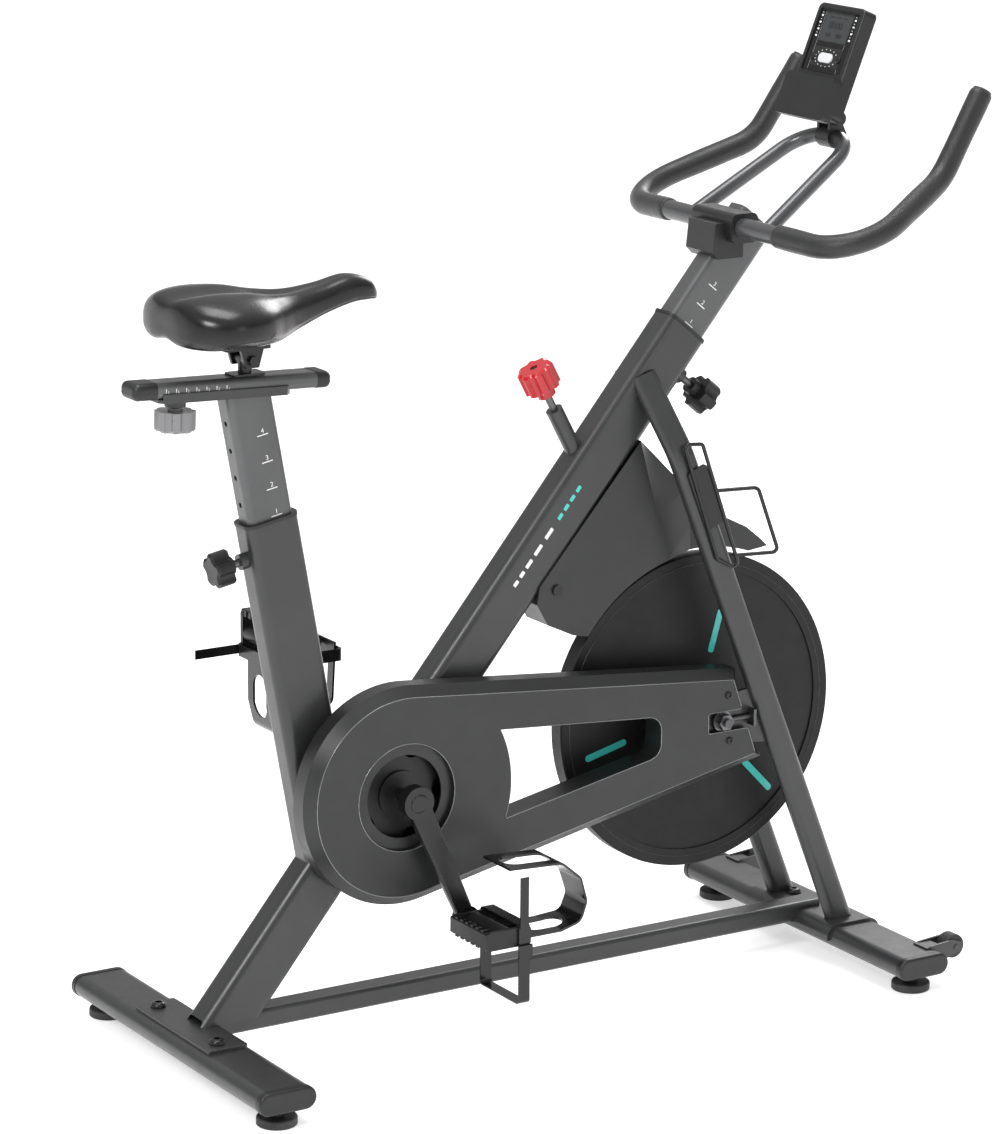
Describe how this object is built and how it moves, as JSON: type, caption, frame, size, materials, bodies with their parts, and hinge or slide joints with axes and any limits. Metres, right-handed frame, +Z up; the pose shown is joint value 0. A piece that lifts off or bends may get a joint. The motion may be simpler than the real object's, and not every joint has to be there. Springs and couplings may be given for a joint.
{
  "type": "exercise bike",
  "caption": "Upright indoor cycling bike: tubular frame, rear-set saddle on a slider, horned handlebar with console, guarded belt drive and front flywheel.",
  "frame": {"origin": "on the floor, in the middle of the bike's footprint box", "axes": "+X forwards towards the handlebar, +Y to the rider's left, +Z up"},
  "size_m": [1.1214, 0.5186, 1.2538],
  "materials": {
    "frame_paint": "satin",
    "post_paint": "satin",
    "cap_plastic": "fine grain",
    "guard_plastic": "satin",
    "dark_steel": "blackened",
    "flywheel_iron": "painted satin black",
    "pulley_metal": "machined",
    "pulley_plastic": "moulded",
    "belt_rubber": "ribbed",
    "arm_black": "semi-gloss",
    "inlay_teal": "gloss",
    "pedal_plastic": "moulded",
    "clip_plastic": "semi-gloss",
    "saddle_cover": "glossy synthetic cover",
    "grip_foam_black": "closed-cell foam",
    "console_shell": "satin",
    "console_window": "gloss",
    "button_pale": "satin",
    "button_dark": "satin",
    "knob_black": "satin",
    "knob_red": "gloss",
    "knob_grey": "satin",
    "wire_black": "gloss",
    "foot_rubber": "moulded",
    "roller_rubber": "moulded"
  },
  "bodies": {
    "frame": {"main_tube": "frame_paint", "seat_tube": "frame_paint", "base_tube": "frame_paint", "rear_stabilizer": "frame_paint", "front_stabilizer": "frame_paint", "end_caps": "cap_plastic", "welded_plates": "frame_paint", "fasteners": "dark_steel", "fork_legs": "frame_paint", "flywheel_axle": "dark_steel", "bottom_bracket": "frame_paint", "belt_guard_cover": "guard_plastic", "belt_guard_backing": "guard_plastic", "drive_belt": "belt_rubber", "tube_bushings": "cap_plastic", "tube_bosses": "frame_paint", "brake_shroud": "guard_plastic", "bottle_cage": "wire_black", "wheel_brackets": "frame_paint"},
    "crank": {"crank_axle": "dark_steel", "drive_pulley": "pulley_plastic", "crank_arms": "arm_black"},
    "right_pedal": {"pedal_right": "pedal_plastic", "toe_clip_right": "clip_plastic"},
    "left_pedal": {"pedal_left": "pedal_plastic", "toe_clip_left": "clip_plastic"},
    "flywheel_set": {"flywheel": "flywheel_iron", "flywheel_pulley": "pulley_metal", "flywheel_inlays": "inlay_teal"},
    "seat_mast": {"seat_post": "post_paint", "slider_channel": "frame_paint"},
    "seat_slider": {"slider_tube": "post_paint", "slider_end_caps": "cap_plastic", "saddle_stem": "arm_black"},
    "saddle_set": {"saddle": "saddle_cover", "saddle_clamp": "arm_black"},
    "handlebar_set": {"handlebar_post": "post_paint", "handlebar_tube": "frame_paint", "grip_foam": "grip_foam_black", "handlebar_clamp": "cap_plastic", "console_mount": "cap_plastic"},
    "console_set": {"console": "console_shell", "console_screen": "console_window"},
    "key_left": {"button_left": "button_dark"},
    "key_mode": {"button_mode": "button_pale"},
    "key_right": {"button_right": "button_dark"},
    "seat_lock_screw": {"seat_lock_pin": "dark_steel"},
    "seat_lock_grip": {"seat_lock_knob": "knob_black"},
    "post_lock_screw": {"post_lock_pin": "dark_steel"},
    "post_lock_grip": {"post_lock_knob": "knob_black"},
    "slider_clamp_knob": {"slider_knob": "knob_grey"},
    "brake_plunger": {"brake_rod": "dark_steel"},
    "tension_grip": {"tension_knob": "knob_red"},
    "magnet_yoke": {"magnet_bracket": "arm_black"},
    "pad_rear_right": {"foot_rear_right": "foot_rubber"},
    "pad_rear_left": {"foot_rear_left": "foot_rubber"},
    "pad_front_right": {"foot_front_right": "foot_rubber"},
    "pad_front_left": {"foot_front_left": "foot_rubber"},
    "roller_left": {"transport_wheel_left": "roller_rubber"},
    "roller_right": {"transport_wheel_right": "roller_rubber"}
  },
  "joints": [
    {"name": "flywheel_spin", "type": "hinge", "parent": "frame", "child": "flywheel_set", "pos_m": [0.2537, 0, 0.3536], "axis": [0, 1, 0], "continuous": true},
    {"name": "crank_spin", "type": "hinge", "parent": "frame", "child": "crank", "pos_m": [-0.22, 0, 0.325], "axis": [0, 1, 0], "continuous": true},
    {"name": "pedal_right_spin", "type": "hinge", "parent": "crank", "child": "right_pedal", "pos_m": [-0.15303, -0.164, 0.16875], "axis": [0, 1, 0], "continuous": true},
    {"name": "pedal_left_spin", "type": "hinge", "parent": "crank", "child": "left_pedal", "pos_m": [-0.28697, 0.164, 0.48125], "axis": [0, 1, 0], "continuous": true},
    {"name": "seat_height", "type": "slide", "parent": "frame", "child": "seat_mast", "axis": [-0.184, 0, 0.9829], "range_m": [-0.08, 0.1]},
    {"name": "seat_fore_aft", "type": "slide", "parent": "seat_mast", "child": "seat_slider", "axis": [0.9994, 0, -0.0349], "range_m": [-0.035, 0.002]},
    {"name": "saddle_tilt", "type": "hinge", "parent": "seat_slider", "child": "saddle_set", "pos_m": [-0.402, 0, 0.882], "axis": [0, 1, 0], "range_deg": [-12, 12]},
    {"name": "handlebar_height", "type": "slide", "parent": "frame", "child": "handlebar_set", "axis": [0.6361, 0, 0.7716], "range_m": [-0.06, 0.05]},
    {"name": "console_tilt", "type": "hinge", "parent": "handlebar_set", "child": "console_set", "pos_m": [0.451, 0, 1.113], "axis": [0, 1, 0], "range_deg": [-12, 10]},
    {"name": "button_left_press", "type": "slide", "parent": "console_set", "child": "key_left", "axis": [0.9272, 0, -0.3746], "range_m": [0, 0.0012], "stiffness_N_per_m": 400},
    {"name": "button_mode_press", "type": "slide", "parent": "console_set", "child": "key_mode", "axis": [0.9272, 0, -0.3746], "range_m": [0, 0.0012], "stiffness_N_per_m": 400},
    {"name": "button_right_press", "type": "slide", "parent": "console_set", "child": "key_right", "axis": [0.9272, 0, -0.3746], "range_m": [0, 0.0012], "stiffness_N_per_m": 400},
    {"name": "seat_lock_pull", "type": "slide", "parent": "frame", "child": "seat_lock_screw", "axis": [-0.9829, 0, -0.184], "range_m": [0, 0.006]},
    {"name": "seat_lock_turn", "type": "hinge", "parent": "seat_lock_screw", "child": "seat_lock_grip", "pos_m": [-0.36689, 0, 0.64], "axis": [-0.9829, 0, -0.184], "range_deg": [0, 720]},
    {"name": "post_lock_pull", "type": "slide", "parent": "frame", "child": "post_lock_screw", "axis": [0.7716, 0, -0.6361], "range_m": [0, 0.006]},
    {"name": "post_lock_turn", "type": "hinge", "parent": "post_lock_screw", "child": "post_lock_grip", "pos_m": [0.19418, 0, 0.8238], "axis": [0.7716, 0, -0.6361], "range_deg": [0, 720]},
    {"name": "slider_knob_turn", "type": "hinge", "parent": "seat_mast", "child": "slider_clamp_knob", "pos_m": [-0.4955, 0, 0.85549], "axis": [0.0349, 0, 0.9994], "range_deg": [0, 720]},
    {"name": "brake_push", "type": "slide", "parent": "frame", "child": "brake_plunger", "axis": [0.477, 0, -0.8789], "range_m": [0, 0.0055], "stiffness_N_per_m": 1500, "springref_m": -0.005},
    {"name": "magnet_tilt", "type": "hinge", "parent": "frame", "child": "magnet_yoke", "pos_m": [0.0284, 0, 0.5461], "axis": [0, -1, 0], "range_deg": [-0.8, 3.2]},
    {"name": "tension_turn", "type": "hinge", "parent": "brake_plunger", "child": "tension_grip", "pos_m": [0.037, 0, 0.7733], "axis": [-0.477, 0, 0.8789], "range_deg": [-144, 576]},
    {"name": "foot_rear_right_turn", "type": "hinge", "parent": "frame", "child": "pad_rear_right", "pos_m": [-0.486, -0.221, 0], "axis": [0, 0, 1], "range_deg": [-180, 180]},
    {"name": "foot_rear_left_turn", "type": "hinge", "parent": "frame", "child": "pad_rear_left", "pos_m": [-0.486, 0.221, 0], "axis": [0, 0, 1], "range_deg": [-180, 180]},
    {"name": "foot_front_right_turn", "type": "hinge", "parent": "frame", "child": "pad_front_right", "pos_m": [0.4557, -0.221, 0], "axis": [0, 0, 1], "range_deg": [-180, 180]},
    {"name": "foot_front_left_turn", "type": "hinge", "parent": "frame", "child": "pad_front_left", "pos_m": [0.4557, 0.221, 0], "axis": [0, 0, 1], "range_deg": [-180, 180]},
    {"name": "roller_left_spin", "type": "hinge", "parent": "frame", "child": "roller_left", "pos_m": [0.523, 0.215, 0.046], "axis": [0, 1, 0], "continuous": true},
    {"name": "roller_right_spin", "type": "hinge", "parent": "frame", "child": "roller_right", "pos_m": [0.523, -0.215, 0.046], "axis": [0, 1, 0], "continuous": true}
  ],
  "couplings": [
    {"joint": "crank_spin", "follows": "flywheel_spin", "ratio": 0.26667},
    {"joint": "tension_turn", "follows": "magnet_tilt", "ratio": 180}
  ]
}
